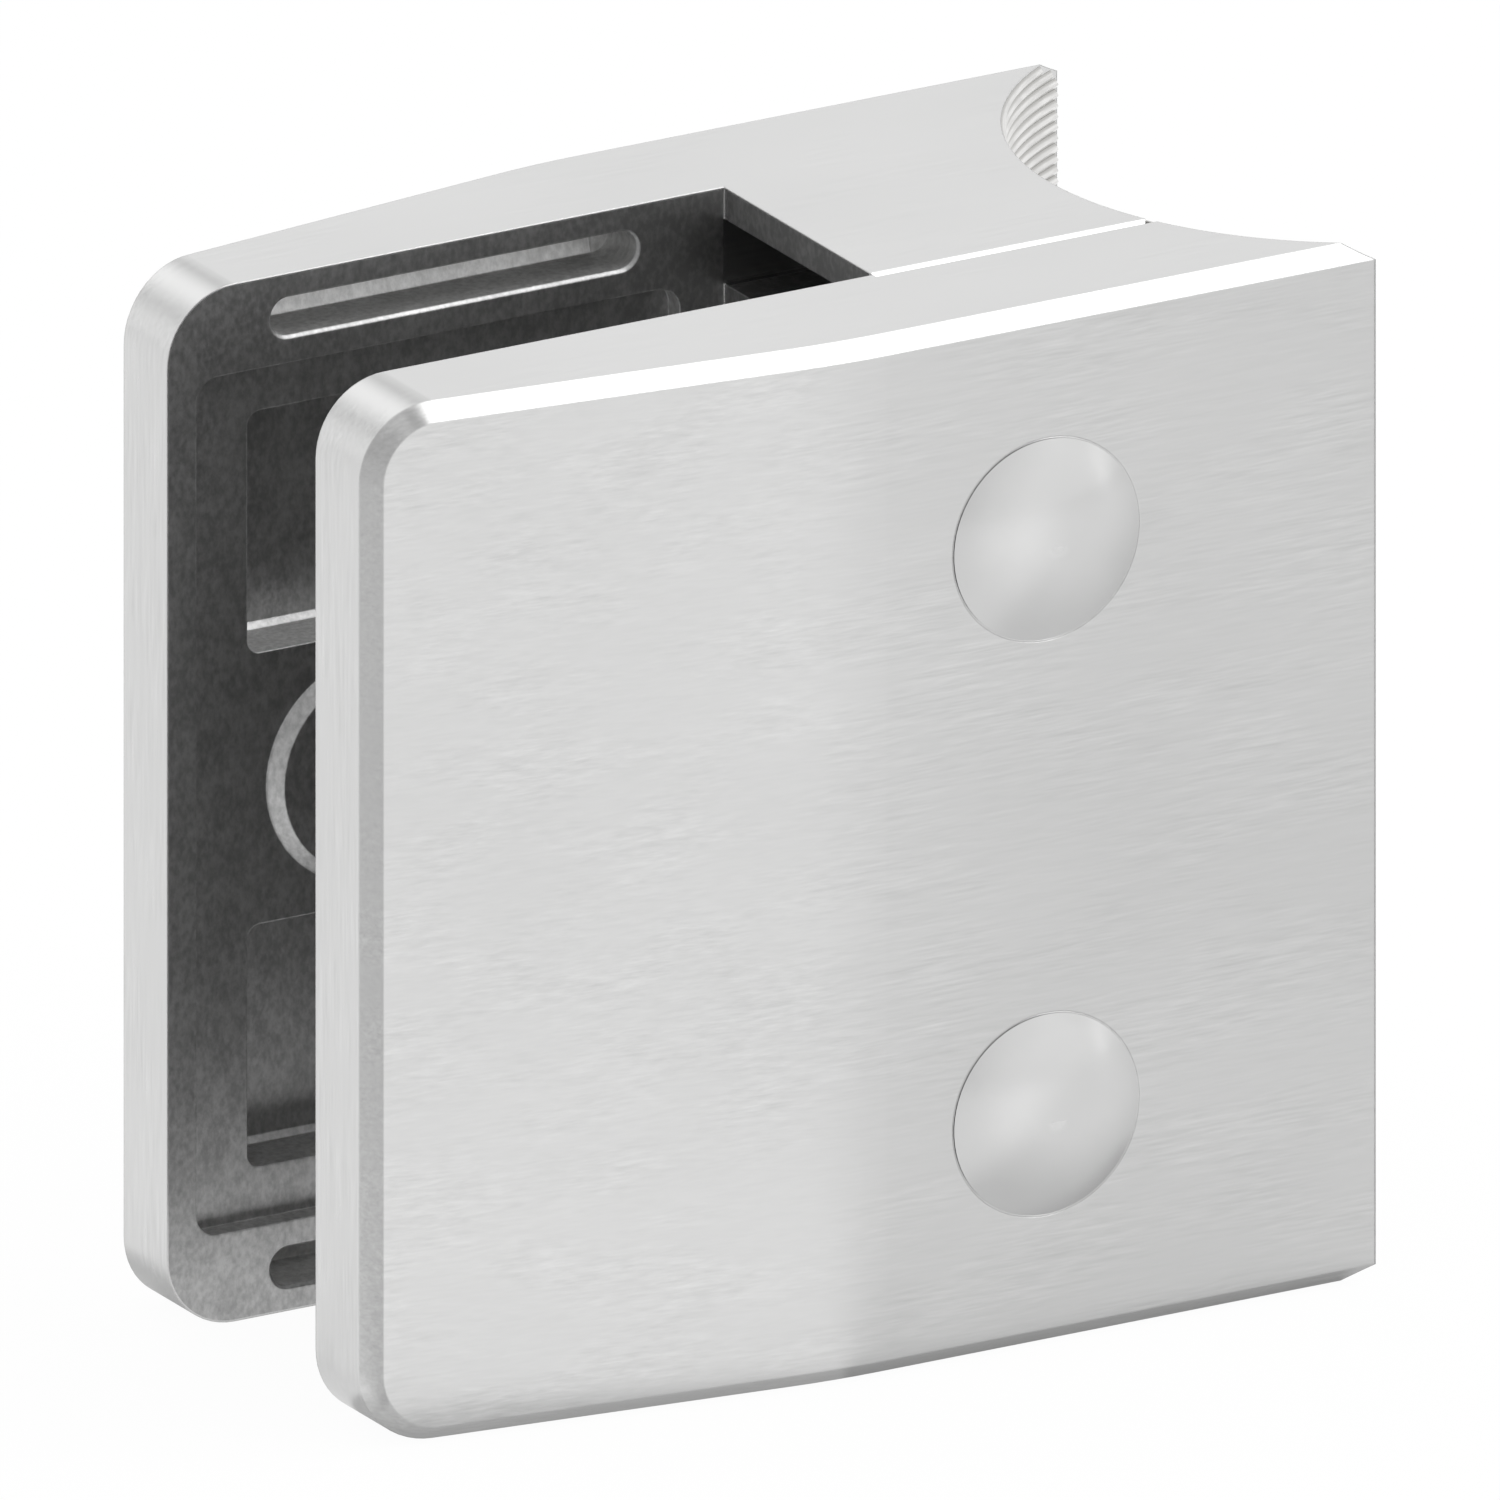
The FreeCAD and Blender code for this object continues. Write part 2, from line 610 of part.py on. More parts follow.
def make_screw(label, rise):
    """Socket head screw: its own Z runs out of the head, and z = 0 is the seat under the head."""
    body = new_body(label)
    shank = "screw_diameter / 2"
    head = "screw_head_diameter / 2"
    length = f"({HEAD_FLOOR} + {HALF_GAP} + thread_engagement)"
    profile = new_sketch(body, f"{label}_profile", "XZ_Plane")
    add_corner_outline(profile, (
        ("0", f"-{length}"),
        (f"{shank} - screw_edge_break", f"-{length}"),
        (shank, f"-{length} + screw_edge_break"),
        (shank, "0"),
        (head, "0"),
        (head, "screw_head_height - screw_edge_break"),
        (f"{head} - screw_edge_break", "screw_head_height"),
        ("0", "screw_head_height"),
    ))
    revolve(body, profile, f"{label}_turned")

    socket = new_sketch(body, f"{label}_socket_outline", "XY_Plane", "screw_head_height")
    corner_radius = number("hex_key") / math.sqrt(3)
    corners = [
        (corner_radius * math.cos(math.radians(60 * i)), corner_radius * math.sin(math.radians(60 * i)))
        for i in range(6)
    ]
    sides = [add_line(socket, corners[i], corners[(i + 1) % 6]) for i in range(6)]
    guide = socket.addGeometry(
        Part.Circle(FreeCAD.Vector(0, 0, 0), FreeCAD.Vector(0, 0, 1), corner_radius), True
    )
    constrain(socket, "Coincident", guide, 3, -1, 1)
    for i in range(6):
        constrain(socket, "Coincident", sides[i - 1], 2, sides[i], 1)
        constrain(socket, "PointOnObject", sides[i], 1, guide)
    for side in sides[1:]:
        constrain(socket, "Equal", sides[0], side)
    constrain(socket, "PointOnObject", sides[0], 1, -1)
    drive(socket, "corner_radius", "Radius", (guide,), "hex_key / sqrt(3)")
    cut(body, socket, f"{label}_socket", "hex_depth")

    set_in_place(body, -90, SCREW_REACH, HEAD_FLOOR, rise)
    return body


def make_nut(label, rise):
    """Domed sleeve nut: its own Z runs out of the dome, and z = 0 is the shoulder under the head."""
    body = new_body(label)
    head = "nut_head_diameter / 2"
    shank = "nut_shank_diameter / 2"
    bore = "(screw_diameter / 2 + nut_thread_clearance)"
    bore_end = f"-{NUT_SHANK_LENGTH} + thread_engagement - nut_end_gap + nut_bore_run_out"
    dome_top = "nut_head_thickness + nut_dome_height"
    profile = new_sketch(body, f"{label}_profile", "XZ_Plane")
    sides = add_corner_outline(profile, (
        (bore, f"-{NUT_SHANK_LENGTH}"),
        (shank, f"-{NUT_SHANK_LENGTH}"),
        (shank, "0"),
        (head, "0"),
        (head, "nut_head_thickness"),
        ("0", dome_top),
        ("0", bore_end),
        (bore, bore_end),
    ))
    # The straight side across the dome becomes construction, and an arc takes its place
    dome_chord = sides[4]
    profile.setConstruction(dome_chord, True)
    half_chord, rise_of_dome = number(head), number("nut_dome_height")
    dome_radius = (half_chord ** 2 + rise_of_dome ** 2) / (2 * rise_of_dome)
    dome_centre = (0, number(dome_top) - dome_radius)
    rim_degrees = math.degrees(math.asin((number("nut_head_thickness") - dome_centre[1]) / dome_radius))
    dome = add_arc(profile, dome_centre, dome_radius, rim_degrees, 90)
    constrain(profile, "Coincident", dome, 1, dome_chord, 1)
    constrain(profile, "Coincident", dome, 2, dome_chord, 2)
    constrain(profile, "PointOnObject", dome, 3, -2)
    revolve(body, profile, f"{label}_turned")

    set_in_place(body, 90, SCREW_REACH, f"-{NUT_SHOULDER}", rise)
    return body


pieces = [make_base(), make_cover()]
for level, rise in (("upper", SCREW_RISE), ("lower", f"-{SCREW_RISE}")):
    pieces.append(make_screw(f"clamp_screw_{level}", rise))
    pieces.append(make_nut(f"sleeve_nut_{level}", rise))
document.recompute()

for thing in document.Objects:
    if "Invalid" in thing.State or "Error" in thing.State:
        raise RuntimeError(f"{thing.Label} failed: {thing.State}")
for piece in pieces:
    if piece.Shape.isNull() or not piece.Shape.isValid():
        raise RuntimeError(f"{piece.Label} has no valid shape")
    if len(piece.Shape.Solids) != 1:
        raise RuntimeError(f"{piece.Label} has {len(piece.Shape.Solids)} solids")

os.makedirs("parts", exist_ok=True)
for piece in pieces:
    piece.Shape.exportStep(f"parts/{piece.Label}.step")
    box = piece.Shape.BoundBox
    print(
        f"{piece.Label}: {piece.Shape.Volume / 1000:.2f} cm3, "
        f"x {box.XMin:.2f} to {box.XMax:.2f}, "
        f"y {box.YMin:.2f} to {box.YMax:.2f}, "
        f"z {box.ZMin:.2f} to {box.ZMax:.2f}"
    )
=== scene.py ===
import math

import bmesh
import bpy
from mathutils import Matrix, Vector


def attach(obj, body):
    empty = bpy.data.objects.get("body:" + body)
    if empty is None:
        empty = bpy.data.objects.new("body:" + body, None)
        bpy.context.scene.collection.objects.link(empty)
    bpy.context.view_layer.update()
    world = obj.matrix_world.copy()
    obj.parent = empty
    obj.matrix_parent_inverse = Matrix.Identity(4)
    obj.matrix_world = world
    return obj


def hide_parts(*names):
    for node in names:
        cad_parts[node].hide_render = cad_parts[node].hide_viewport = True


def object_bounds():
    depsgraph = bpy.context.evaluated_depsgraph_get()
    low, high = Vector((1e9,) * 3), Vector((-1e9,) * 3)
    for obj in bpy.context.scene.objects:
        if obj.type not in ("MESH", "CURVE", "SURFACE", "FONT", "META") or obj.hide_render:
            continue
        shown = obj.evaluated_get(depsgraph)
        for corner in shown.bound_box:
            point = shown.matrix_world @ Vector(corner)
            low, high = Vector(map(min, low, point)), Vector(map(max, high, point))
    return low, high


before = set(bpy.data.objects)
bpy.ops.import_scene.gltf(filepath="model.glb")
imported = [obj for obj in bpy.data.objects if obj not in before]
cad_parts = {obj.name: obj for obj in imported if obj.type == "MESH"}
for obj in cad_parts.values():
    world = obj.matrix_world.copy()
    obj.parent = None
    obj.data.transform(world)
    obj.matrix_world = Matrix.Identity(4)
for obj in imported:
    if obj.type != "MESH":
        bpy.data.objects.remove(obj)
cad_low, cad_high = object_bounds()

# Rear jaw and web
# One investment casting in stainless steel, ground and brushed along the clamp on the outside. The
# inside of the jaw and the cored web keep the grey skin of the mould, brighter in the slots, with
# painted light on the side walls of the recesses and painted shade darkening it towards the web.
# Sizes are in millimetres.
MM = 0.001
SEAT_RADIUS = 16.9
GLASS_END = cad_low.x / MM
HALF_HEIGHT = cad_high.z / MM
JAW_CORNER_RADIUS = 3.7
WEB_WALL = -13.6
HALF_GAP = 7.0
THIN_END_FACE = 11.9
CORE_FLOOR = 11.29
SLOT_LOW_SIDE = 22.8
SCREW_REACH = -8.8
SCREW_RISE = 14.4
SCREW_RECESS_RADIUS = 5.5
BOLT_BORE_RADIUS = 4.3
SKIN_MARGIN = 0.1
THIN_END_MARGIN = 1.0
SEAT_MARGIN = 0.15
WALL_MARGIN = 0.05
SLOT_MARGIN = 0.2
GROUND_DEPTH = 0.35
PAINTED_SHADE_TO_WEB = (-34, -15)
STROKES_PER_MM = (0.45, 6, 6.5)
LONG_STROKES_PER_MM = (0.16, 2.6, 2.8)
UPRIGHT_STROKES_PER_MM = (6, 5, 0.3)
CLOUDS_PER_MM = (0.07, 0.1, 0.1)
PATCHES_PER_MM = (0.12, 0.3, 0.35)
MOTTLE_PER_MM = (3.4, 3.4, 2.2)
BLOTCHES_PER_MM = (0.5, 0.5, 0.4)
BRUSHED_DARK = (0.555, 0.555, 0.553, 1)
BRUSHED_LIGHT = (0.685, 0.685, 0.683, 1)
SKIN_DARK = (0.36, 0.36, 0.36, 1)
SKIN_LIGHT = (0.58, 0.58, 0.578, 1)
PAINTED_LIT_WALL_AND_SLOT_DARK = (0.6, 0.6, 0.595, 1)
PAINTED_LIT_WALL_AND_SLOT_LIGHT = (0.86, 0.86, 0.855, 1)
SLOT_SHARE = 0.85
PAINTED_WALL_LIGHT_SHARE = 0.5
BRUSHED_ROUGHNESS = 0.24
SKIN_ROUGHNESS = 0.36
RELIEF_DEPTH = 0.02
CASTING_EDGE_RADIUS = 0.12


class Link:
    """One socket of a finish's nodes. Sums, products and comparisons of links add Math nodes."""

    def __init__(self, tree, socket=None):
        self.tree = tree
        self.socket = socket

    def add(self, kind, values=None, output=0, **settings):
        """Adds a node: its settings first, then the values or links of its sockets."""
        node = self.tree.nodes.new(kind)
        for name, setting in settings.items():
            setattr(node, name, setting)
        for name, value in (values or {}).items():
            if isinstance(value, Link):
                self.tree.links.new(value.socket, node.inputs[name])
            else:
                node.inputs[name].default_value = value
        return Link(self.tree, node.outputs[output])

    def maths(self, operation, *values):
        return self.add("ShaderNodeMath", dict(enumerate(values)), operation=operation)

    def __add__(self, other):
        return self.maths("ADD", self, other)

    def __sub__(self, other):
        return self.maths("SUBTRACT", self, other)

    def __rsub__(self, other):
        return self.maths("SUBTRACT", other, self)

    def __mul__(self, other):
        return self.maths("MULTIPLY", self, other)

    def __truediv__(self, other):
        return self.maths("DIVIDE", self, other)

    def __lt__(self, other):
        return self.maths("LESS_THAN", self, other)

    def __gt__(self, other):
        return self.maths("GREATER_THAN", self, other)

    def __abs__(self):
        return self.maths("ABSOLUTE", self)

    __radd__ = __add__
    __rmul__ = __mul__

    def at_least(self, least):
        return self.maths("MAXIMUM", self, least)

    def across(self, other):
        """The length of the hypotenuse over this side and the other."""
        return self.maths("SQRT", self * self + other * other)

    def stretched(self, *steps):
        """A position counted in other steps along X, Y and Z."""
        return self.add("ShaderNodeVectorMath", {0: self, 1: steps}, operation="MULTIPLY")

    def parts(self):
        """The X, Y and Z of a vector."""
        split = self.add("ShaderNodeSeparateXYZ", {0: self})
        return [Link(self.tree, socket) for socket in split.socket.node.outputs]

    def noise(self, detail=2.0, roughness=0.5):
        """Soft random patches, one to each step of the position."""
        values = {"Vector": self, "Scale": 1.0, "Detail": detail, "Roughness": roughness}
        return self.add("ShaderNodeTexNoise", values)

    def between(self, low, high, floor=0.0, top=1.0):
        """Floor below the low value, top above the high one, and a soft step between them."""
        values = {"Value": self, "From Min": low, "From Max": high, "To Min": floor, "To Max": top}
        return self.add("ShaderNodeMapRange", values, interpolation_type="SMOOTHSTEP")

    def shade(self, low, high):
        """A colour between two others, as this mask says."""
        return self.add("ShaderNodeMix", {0: self, 6: low, 7: high}, output=2, data_type="RGBA")


def start_finish(name):
    """A new metal finish, with its shader and the point on the piece in millimetres."""
    material = bpy.data.materials.new(name)
    material.use_nodes = True
    shader = material.node_tree.nodes["Principled BSDF"]
    shader.inputs["Metallic"].default_value = 1.0
    place = Link(material.node_tree).add("ShaderNodeTexCoord", output="Object")
    return material, shader, place.stretched(1 / MM, 1 / MM, 1 / MM)


def feed(shader, socket, value):
    """Links a value that varies over the surface to the shader."""
    value.tree.links.new(value.socket, shader.inputs[socket])


def rounded(finish, radius_mm):
    """The surface's normal with every sharp edge eased to a small radius."""
    return finish.add("ShaderNodeBevel", {"Radius": radius_mm * MM}, samples=4)


def casting_finish(name):
    """Brushed outside, mould skin between the jaws and in the recesses, and ground mating faces."""
    material, shader, point = start_finish(name)
    x, y, z = point.parts()
    facing = point.add("ShaderNodeTexCoord", output="Normal").parts()

    past_corner = (GLASS_END + JAW_CORNER_RADIUS - x).at_least(0)
    above_corner = (abs(z) - (HALF_HEIGHT - JAW_CORNER_RADIUS)).at_least(0)
    from_outline = JAW_CORNER_RADIUS - past_corner.across(above_corner)
    rim_depth = THIN_END_FACE - THIN_END_MARGIN
    inner_depth = CORE_FLOOR + SKIN_MARGIN
    inside = from_outline > JAW_CORNER_RADIUS - SKIN_MARGIN
    deepest = rim_depth + inside * (inner_depth - rim_depth)
    from_post = (x - SEAT_RADIUS).across(y)
    from_screw = (x - SCREW_REACH).across(abs(z) - SCREW_RISE)
    near_parting = (abs(y) > HALF_GAP - GROUND_DEPTH) * (abs(y) < HALF_GAP + GROUND_DEPTH)
    mating = near_parting * (x > WEB_WALL - WALL_MARGIN)
    cast = (
        (from_outline > SKIN_MARGIN)
        * (abs(y) < deepest)
        * (from_post > SEAT_RADIUS + SEAT_MARGIN)
        * (from_screw > SCREW_RECESS_RADIUS)
        * (y.across(z) > BOLT_BORE_RADIUS)
        * (1 - mating)
    )

    end_on = abs(facing[0]).between(0.75, 0.95)
    along = point.stretched(*STROKES_PER_MM).noise(detail=3, roughness=0.6)
    long_strokes = point.stretched(*LONG_STROKES_PER_MM).noise(detail=2)
    upright = point.stretched(*UPRIGHT_STROKES_PER_MM).noise(detail=2)
    grain = (along * 0.6 + long_strokes * 0.4) * (1 - end_on) + upright * end_on - 0.5
    clouds = point.stretched(*CLOUDS_PER_MM).noise(detail=1)
    patchy = point.stretched(*PATCHES_PER_MM).noise(detail=2).between(0.35, 0.65, 0.45, 1.5)
    mottle = point.stretched(*MOTTLE_PER_MM).noise(detail=3, roughness=0.6)
    blotches = point.stretched(*BLOTCHES_PER_MM).noise(detail=2)

    upper_face = facing[2].between(0.7, 0.95)
    on_flat = 1.0 - 0.6 * upper_face - 0.4 * end_on
    tone = 0.5 + grain * on_flat * patchy * 1.6 + (clouds - 0.5) * 0.4
    brushed = tone.shade(BRUSHED_DARK, BRUSHED_LIGHT)
    # Painted shade: the mould skin darkens towards the web.
    painted_web_shade = x.between(*PAINTED_SHADE_TO_WEB, 0.0, 0.3)
    speckle = (mottle * 0.7 + blotches * 0.3).between(0.28, 0.72)
    mould_skin = (speckle - painted_web_shade).shade(SKIN_DARK, SKIN_LIGHT)
    # Painted light: the side walls of the recesses, and also the slots, get this brighter skin colour.
    painted_lit_wall_and_slot_skin = speckle.shade(PAINTED_LIT_WALL_AND_SLOT_DARK, PAINTED_LIT_WALL_AND_SLOT_LIGHT)
    painted_lit_walls = abs(facing[1]).between(0.3, 0.65, PAINTED_WALL_LIGHT_SHARE, 0.0) * (x < WEB_WALL - SKIN_MARGIN)
    slot_inside = (abs(z) > SLOT_LOW_SIDE) * (abs(y) > HALF_GAP + SLOT_MARGIN) * (x < WEB_WALL)
    skin = painted_lit_walls.at_least(slot_inside * SLOT_SHARE).shade(mould_skin, painted_lit_wall_and_slot_skin)
    feed(shader, "Base Color", cast.shade(brushed, skin))

    skin_roughness = SKIN_ROUGHNESS + painted_lit_walls * 0.3 + mottle * 0.08
    brushed_roughness = BRUSHED_ROUGHNESS + grain * 0.14
    feed(shader, "Roughness", cast * skin_roughness + (1 - cast) * brushed_roughness)

    relief = cast * (mottle * 0.8 + blotches * 0.3) + (1 - cast) * grain * 0.4
    feed(shader, "Normal", point.add("ShaderNodeBump", {
        "Height": relief,
        "Strength": 0.6,
        "Distance": RELIEF_DEPTH * MM,
        "Normal": rounded(point, CASTING_EDGE_RADIUS),
    }))
    return material


def dress(node, finish):
    """Gives a piece of the frame its finish."""
    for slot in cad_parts[node].material_slots:
        slot.material = finish


dress("base_body", casting_finish("stainless_casting"))


# Front cover
# A second casting of the same steel, ground and brushed in the same way, and drawn onto the web
# by the two screws.
cover_steel = casting_finish("stainless_cover")
dress("cover_plate", cover_steel)


# Seat for the post
# The hollow side is turned with fine level grooves that bite on the post. Each ridge is a ring of
# its own, broken where the bolt passes and where the cover meets the web.
GROOVE_PITCH = 0.54
RIDGE_HEIGHT = 0.2
RIDGE_ROOT = 0.02
RIDGE_BED = 0.1
TIP = cad_high.x / MM
OUTER_FACE = 15.0
EDGE_CHAMFER = 0.83
BORE_CLEARANCE = 0.1
ARC_STEP = math.radians(2.5)
TURNING_MARKS_PER_MM = (0.6, 0.6, 6)
CREST_DARK = (0.66, 0.655, 0.645, 1)
CREST_LIGHT = (0.78, 0.775, 0.765, 1)
PAINTED_ROOT_SHADE = (0.47, 0.465, 0.45, 1)


def add_piece(mesh, name, body, finish):
    """Makes a piece from a finished mesh, sets it on a body and gives it its finish."""
    data = bpy.data.meshes.new(name)
    mesh.to_mesh(data)
    mesh.free()
    data.materials.append(finish)
    piece = bpy.data.objects.new(name, data)
    bpy.context.scene.collection.objects.link(piece)
    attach(piece, body)
    return piece


def ridge_points(angle, z):
    """The five corners of a ridge's section at one angle round the post."""
    half = GROOVE_PITCH / 2
    crest, root, back = SEAT_RADIUS - RIDGE_HEIGHT, SEAT_RADIUS - RIDGE_ROOT, SEAT_RADIUS + RIDGE_BED
    corners = []
    for radius, rise in ((crest, 0.0), (root, half), (back, half), (back, -half), (root, -half)):
        x, y = SEAT_RADIUS - radius * math.cos(angle), radius * math.sin(angle)
        corners.append(Vector((x, y, z + rise)) * MM)
    return corners


def add_ridge(mesh, start, end, z):
    """One ridge between two angles, closed at both ends."""
    count = max(2, round(abs(end - start) / ARC_STEP) + 1)
    rings = []
    for i in range(count):
        angle = start + (end - start) * i / (count - 1)
        rings.append([mesh.verts.new(corner) for corner in ridge_points(angle, z)])
    sides = len(rings[0])
    for first, second in zip(rings, rings[1:]):
        for i in range(sides):
            mesh.faces.new((first[i], first[(i + 1) % sides], second[(i + 1) % sides], second[i]))
    mesh.faces.new(reversed(rings[0]))
    mesh.faces.new(rings[-1])


def reach_at(z):
    """How far from mid gap the seat runs at a height, less the outer chamfer near the ends."""
    above = abs(z) + GROOVE_PITCH / 2 - (HALF_HEIGHT - EDGE_CHAMFER)
    return OUTER_FACE - max(0.0, above)


def seat_ridges(name, body, from_y, to_y, finish):
    """All the ridges on one piece's share of the seat."""
    mesh = bmesh.new()
    count = int(2 * HALF_HEIGHT / GROOVE_PITCH)
    low = -GROOVE_PITCH * (count - 1) / 2
    bore = BOLT_BORE_RADIUS + BORE_CLEARANCE
    tip_angle = math.acos((SEAT_RADIUS - TIP) / (SEAT_RADIUS - RIDGE_HEIGHT))
    for i in range(count):
        z = low + i * GROOVE_PITCH
        limit = min(tip_angle, math.asin(reach_at(z) / (SEAT_RADIUS + RIDGE_BED)))
        start = max(-limit, math.asin(from_y / SEAT_RADIUS))
        end = min(limit, math.asin(to_y / SEAT_RADIUS))
        bore_angle = math.asin(math.sqrt(max(0.0, bore ** 2 - z ** 2)) / SEAT_RADIUS)
        if bore_angle > 0 and start < -bore_angle and end > bore_angle:
            add_ridge(mesh, start, -bore_angle, z)
            add_ridge(mesh, bore_angle, end, z)
        else:
            add_ridge(mesh, start, end, z)
    bmesh.ops.recalc_face_normals(mesh, faces=mesh.faces)
    return add_piece(mesh, name, body, finish)


def groove_finish():
    """Bright turned crests with painted shade in the roots between them."""
    material, shader, point = start_finish("turned_seat")
    x, y = point.parts()[:2]
    depth = (x - SEAT_RADIUS).across(y).between(SEAT_RADIUS - RIDGE_HEIGHT, SEAT_RADIUS - RIDGE_ROOT)
    marks = point.stretched(*TURNING_MARKS_PER_MM).noise(detail=2)
    crest_tone = marks.between(0.3, 0.7).shade(CREST_DARK, CREST_LIGHT)
    # Painted shade: the colour darkens towards the roots of the grooves.
    feed(shader, "Base Color", depth.between(0.35, 1.0).shade(crest_tone, PAINTED_ROOT_SHADE))
    feed(shader, "Roughness", 0.26 + marks * 0.12)
    return material


groove_steel = groove_finish()
seat_ridges("seat_ridges_base", "base", -HALF_GAP, OUTER_FACE, groove_steel)
seat_ridges("seat_ridges_cover", "cover", -OUTER_FACE, -HALF_GAP, groove_steel)


# Sleeve nuts
# Two turned nuts with low domed heads, tumbled smooth and pressed into the cover. The burr of the
# pressing closes the fine gap round each head, but less than half of it on the side of the glass.
NUT_HEAD_RADIUS = 5.0
NUT_HOLE_RADIUS = 5.08
OPEN_SIDE_DEGREES = 152
OPEN_HALF_DEGREES = 40
BURR_FADE_DEGREES = 40
LEAST_BURR = 0.45
BURR_OVERLAP = 0.01
BURR_DEPTH = 0.3
BURR_STEPS = 120
PAINTED_HIGHLIGHT_RIGHT = 0.6
PAINTED_HIGHLIGHT_UP = 1.6
PAINTED_HIGHLIGHT_REACH = (2.0, 6.2)
HAZE_PER_MM = (0.28, 0.5, 0.28)
FINE_MARKS_PER_MM = (3, 3, 3)
DOME_DARK = (0.53, 0.53, 0.529, 1)
DOME_LIGHT = (0.67, 0.67, 0.668, 1)


def dome_finish():
    """Fine satin polish with a faint haze, and a painted highlight a little above the middle of each
    dome.
    """
    material, shader, point = start_finish("polished_dome")
    x, _, z = point.parts()
    # Painted highlight: the base colour is palest near a spot a little above and right of each dome's
    # middle and darker towards its rim.
    from_painted_highlight = (x - SCREW_REACH - PAINTED_HIGHLIGHT_RIGHT).across(abs(z - PAINTED_HIGHLIGHT_UP) - SCREW_RISE)
    haze = point.stretched(*HAZE_PER_MM).noise(detail=1)
    fine = point.stretched(*FINE_MARKS_PER_MM).noise(detail=2)
    tone = from_painted_highlight.between(*PAINTED_HIGHLIGHT_REACH, 1.0, 0.1) + (haze - 0.5) * 0.5 + (fine - 0.5) * 0.1
    feed(shader, "Base Color", tone.shade(DOME_DARK, DOME_LIGHT))
    feed(shader, "Roughness", 0.2 + haze * 0.08)
    return material


def nut_burr(name, rise, finish):
    """The thin ring of pushed-up steel in the gap round one nut."""
    mesh = bmesh.new()
    rings = []
    for i in range(BURR_STEPS):
        degrees = 360 * i / BURR_STEPS
        from_open_side = abs((degrees - OPEN_SIDE_DEGREES + 180) % 360 - 180)
        past_open_side = max(0.0, from_open_side - OPEN_HALF_DEGREES)
        share = min(1.0, LEAST_BURR + (1 - LEAST_BURR) * past_open_side / BURR_FADE_DEGREES)
        inner = NUT_HOLE_RADIUS - (NUT_HOLE_RADIUS - NUT_HEAD_RADIUS + BURR_OVERLAP) * share
        outer = NUT_HOLE_RADIUS
        angle = math.radians(degrees)
        ring = []
        for radius, depth in ((inner, 0.0), (outer, 0.0), (outer, BURR_DEPTH), (inner, BURR_DEPTH)):
            across, up = SCREW_REACH + radius * math.cos(angle), rise + radius * math.sin(angle)
            ring.append(mesh.verts.new(Vector((across, depth - OUTER_FACE, up)) * MM))
        rings.append(ring)
    for first, second in zip(rings, rings[1:] + rings[:1]):
        for i in range(4):
            mesh.faces.new((first[i], first[(i + 1) % 4], second[(i + 1) % 4], second[i]))
    bmesh.ops.recalc_face_normals(mesh, faces=mesh.faces)
    return add_piece(mesh, name, "cover", finish)


dome_steel = dome_finish()
for level, rise in (("upper", SCREW_RISE), ("lower", -SCREW_RISE)):
    dress(f"sleeve_nut_{level}", dome_steel)
    nut_burr(f"nut_burr_{level}", rise, cover_steel)


# Clamp screws
# Two M6 socket head screws of plain machined stainless steel, put in from the rear. Each is one
# turned piece with a rolled right-hand thread and a pressed hexagon socket.
THREAD_PITCH = 1.0
CREST_RADIUS = 3.0
ROOT_RADIUS = 2.42
THREAD_TIP = -11.3
THREAD_END = 4.0
THREAD_ROW = 0.1
FLANK_SLOPE = 2.5
TIP_BREAK = 0.15
LEAD_IN_SLOPE = 0.9
RUN_OUT_LENGTH = 1.0
RUN_OUT_SLOPE = 0.6
HEAD_UNDERSIDE = 8.7
HEAD_TOP = 14.7
HEAD_RADIUS = 5.0
HEAD_BREAK = 0.5
UNDERSIDE_BREAK = 0.1
SOCKET_FLOOR = 11.7
SOCKET_BREAK = 0.15
DRILL_POINT = 0.6
HALF_HEX_KEY = 2.5
SIDES = 48
LATHE_MARKS_PER_MM = (0.6, 7, 0.6)
SCREW_DARK = (0.5, 0.5, 0.505, 1)
SCREW_LIGHT = (0.6, 0.6, 0.605, 1)
SCREW_EDGE_RADIUS = 0.06


def thread_radius(depth, angle):
    """How far the rolled thread stands from the axis at a depth and an angle."""
    turn = (depth / THREAD_PITCH + angle / (2 * math.pi)) % 1.0
    height = max(0.0, min(1.0, FLANK_SLOPE * (0.5 - abs(turn - 0.5))))
    wave = ROOT_RADIUS + (CREST_RADIUS - ROOT_RADIUS) * height
    lead_in = ROOT_RADIUS - TIP_BREAK + (depth - THREAD_TIP) * LEAD_IN_SLOPE
    run_out = ROOT_RADIUS + (depth - THREAD_END + RUN_OUT_LENGTH) * RUN_OUT_SLOPE
    return min(CREST_RADIUS, max(min(wave, lead_in), run_out))


def hex_radius(angle):
    """How far a side of the socket lies from the axis at an angle."""
    return HALF_HEX_KEY / math.cos(angle % (math.pi / 3) - math.pi / 6)


